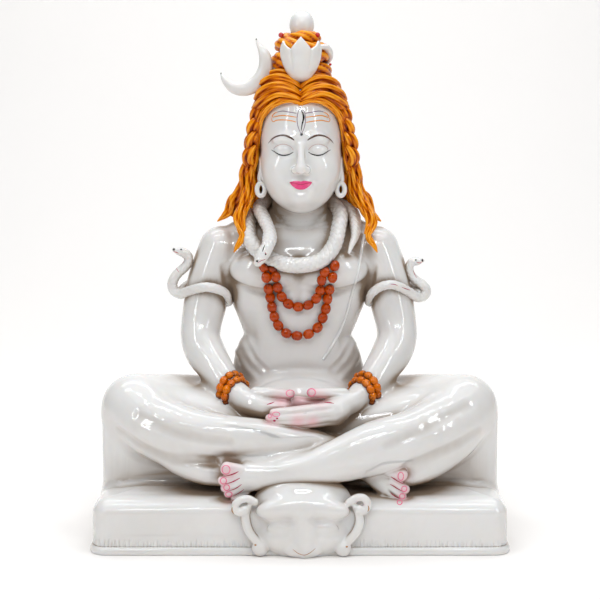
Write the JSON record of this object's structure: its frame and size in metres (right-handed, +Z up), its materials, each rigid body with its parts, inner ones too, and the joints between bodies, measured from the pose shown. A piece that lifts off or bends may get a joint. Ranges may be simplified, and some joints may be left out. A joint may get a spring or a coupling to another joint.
{
  "type": "seated shiva statue",
  "caption": "White marble statue of Shiva seated cross-legged on a tiger-skin base, painted hair and beads, cobras on neck and arms, moon and lotus in the topknot.",
  "frame": {"origin": "middle of the underside of the base", "axes": "+Z up, -Y to the front where the face and the tiger's head look, +X to the viewer's right"},
  "size_m": [0.474, 0.2473, 0.61],
  "materials": {
    "polished_marble": "hand-polished white marble, glossy"
  },
  "bodies": {
    "root": {"shiva_statue": "polished_marble"}
  },
  "joints": []
}
